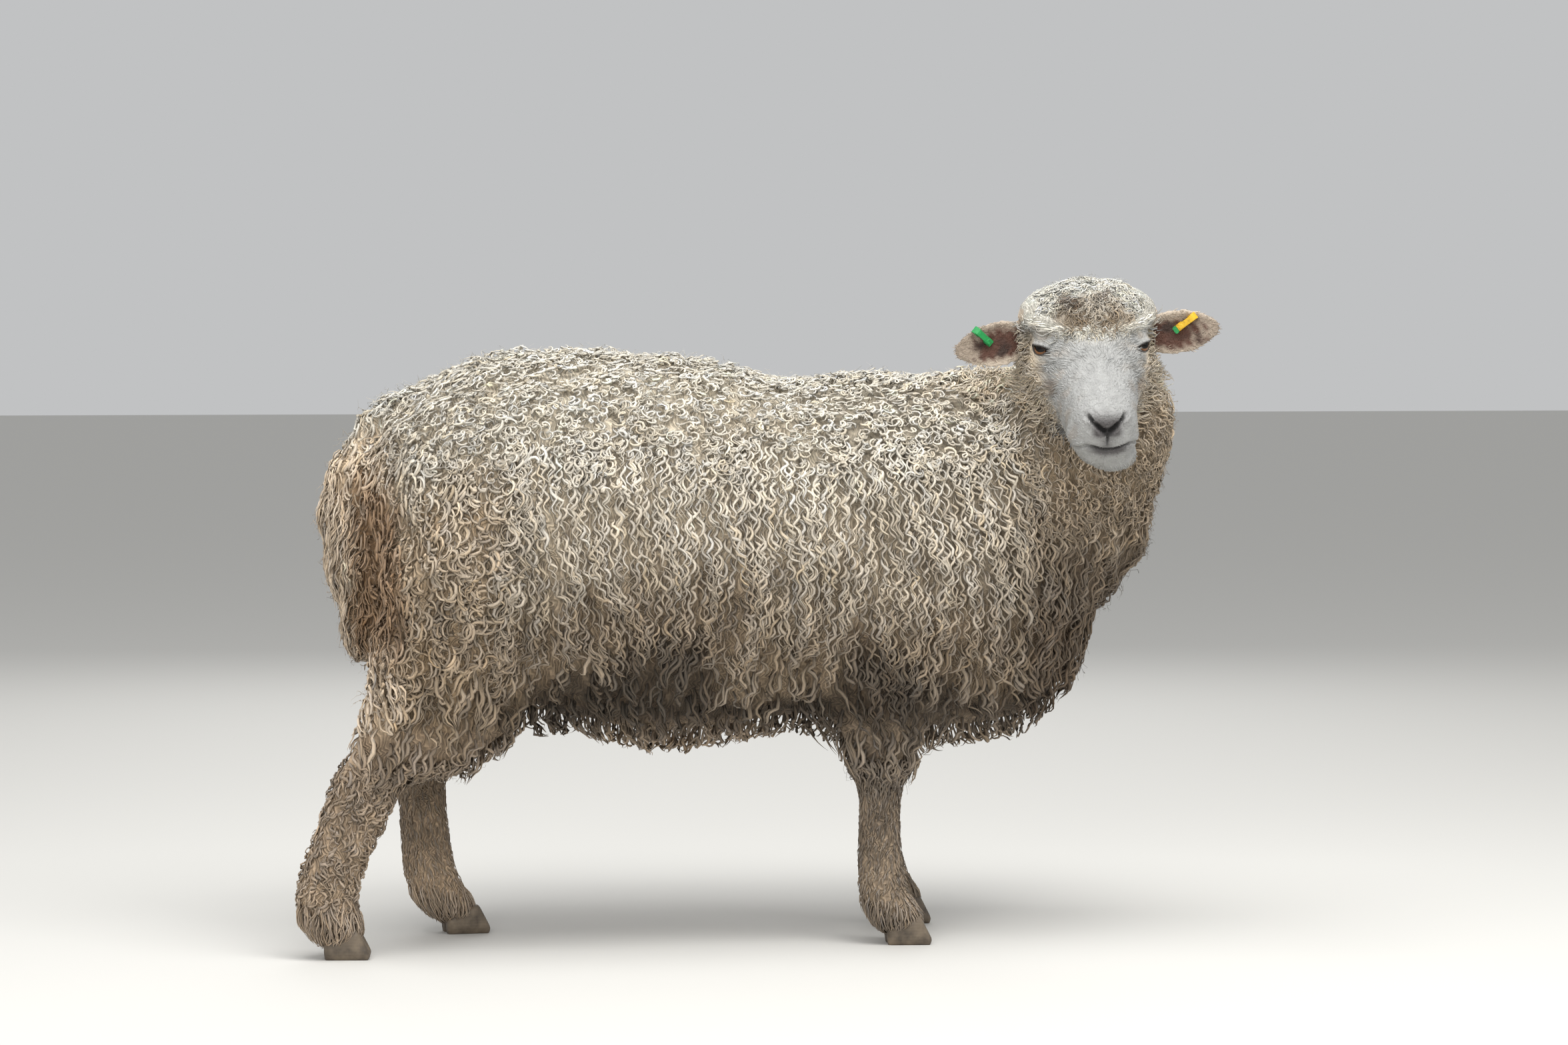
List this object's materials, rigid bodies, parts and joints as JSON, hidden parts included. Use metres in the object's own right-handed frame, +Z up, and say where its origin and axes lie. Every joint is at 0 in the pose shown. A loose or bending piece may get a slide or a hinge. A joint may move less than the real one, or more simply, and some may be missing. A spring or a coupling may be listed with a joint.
{
  "type": "sheep model",
  "caption": "Life-size still model of a longwool sheep standing in full curly fleece, one hind leg stretched back, head turned to its right, with loop ear tags.",
  "frame": {"origin": "on the floor, under the centre of the bounding box", "axes": "+X along the body towards the chest; +Y towards the sheep's left; +Z up"},
  "size_m": [1.2842, 0.6086, 0.9299],
  "materials": {
    "fleece": "matte curly wool",
    "leg_hair": "matte short wool and hair",
    "face_hair": "matte short hair",
    "horn": "dull hoof horn",
    "eye": "wet gloss",
    "tag_green": "satin",
    "tag_yellow": "satin"
  },
  "bodies": {
    "root": {"trunk": "fleece", "neck": "fleece", "topknot": "fleece", "tail": "fleece", "shoulder_left": "fleece", "shoulder_right": "fleece", "thigh_left": "fleece", "thigh_right": "fleece", "foreleg_left": "leg_hair", "foreleg_right": "leg_hair", "hindleg_left": "leg_hair", "hindleg_right": "leg_hair", "head": "face_hair", "ear_left": "face_hair", "ear_right": "face_hair", "eye_left": "eye", "eye_right": "eye", "tag_left": "tag_yellow", "tag_left_clip": "tag_green", "tag_right": "tag_green", "hoof_fore_left_inner": "horn", "hoof_fore_left_outer": "horn", "hoof_fore_right_inner": "horn", "hoof_fore_right_outer": "horn", "hoof_hind_left_inner": "horn", "hoof_hind_left_outer": "horn", "hoof_hind_right_inner": "horn", "hoof_hind_right_outer": "horn"}
  },
  "joints": []
}
